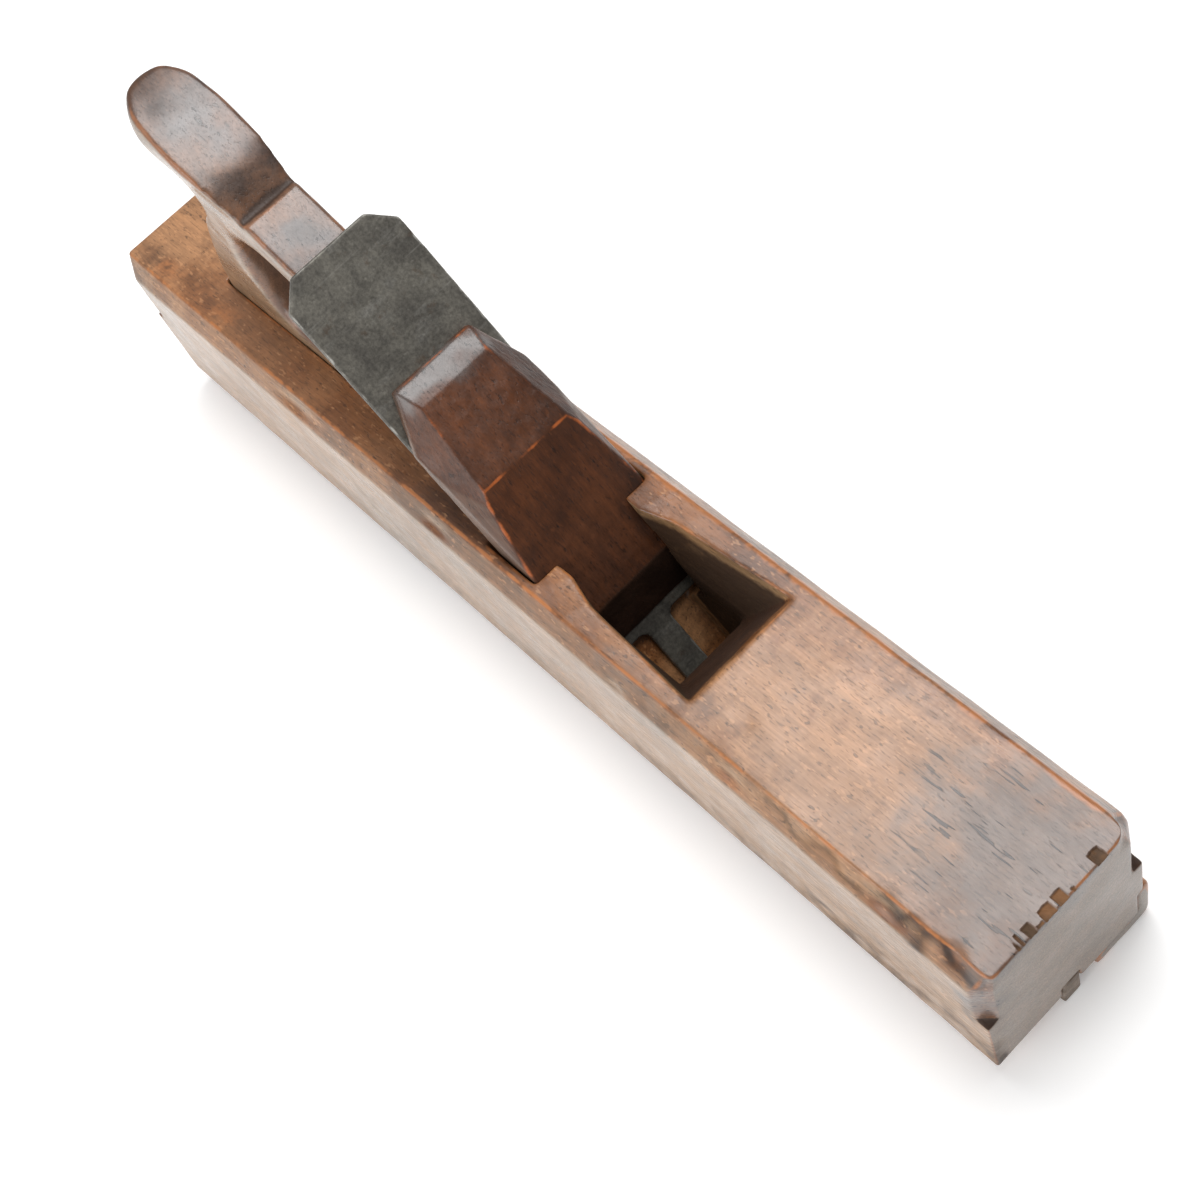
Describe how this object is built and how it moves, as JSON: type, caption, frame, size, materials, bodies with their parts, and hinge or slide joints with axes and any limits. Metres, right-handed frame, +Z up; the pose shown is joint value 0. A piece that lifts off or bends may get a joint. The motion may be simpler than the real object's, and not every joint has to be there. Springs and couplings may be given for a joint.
{
  "type": "wooden grooving plane",
  "caption": "Wooden bench-form grooving plane: beech stock with closed handle, wedged T-shaped iron, central tongue plates and a side fence under the sole.",
  "frame": {"origin": "middle of the overall box at the level of the surface that the plane stands on (the foot of the fence)", "axes": "+X from the heel to the toe, +Y to the user's left (the fence side), +Z up"},
  "size_m": [0.454, 0.0732, 0.1925],
  "materials": {
    "beech_stock": "waxed, worn",
    "beech_tote": "polished by the hand",
    "beech_wedge": "dark, waxed",
    "beech_fence": "worn",
    "dark_iron": "dark patina",
    "brown_iron": "brown patina",
    "screw_steel": "dull"
  },
  "bodies": {
    "stock": {"body": "beech_stock", "tote": "beech_tote", "fence": "beech_fence", "fence_screws": "screw_steel", "tongue_rear": "brown_iron", "tongue_front": "brown_iron", "tongue_screws": "screw_steel"},
    "iron": {"cutting_iron": "dark_iron"},
    "wedge": {"wedge": "beech_wedge"}
  },
  "joints": [
    {"name": "iron_slide", "type": "slide", "parent": "stock", "child": "iron", "axis": [-0.682, 0, 0.7314], "range_m": [0, 0.125]},
    {"name": "wedge_slide", "type": "slide", "parent": "stock", "child": "wedge", "axis": [-0.682, 0, 0.7314], "range_m": [0, 0.08]}
  ]
}
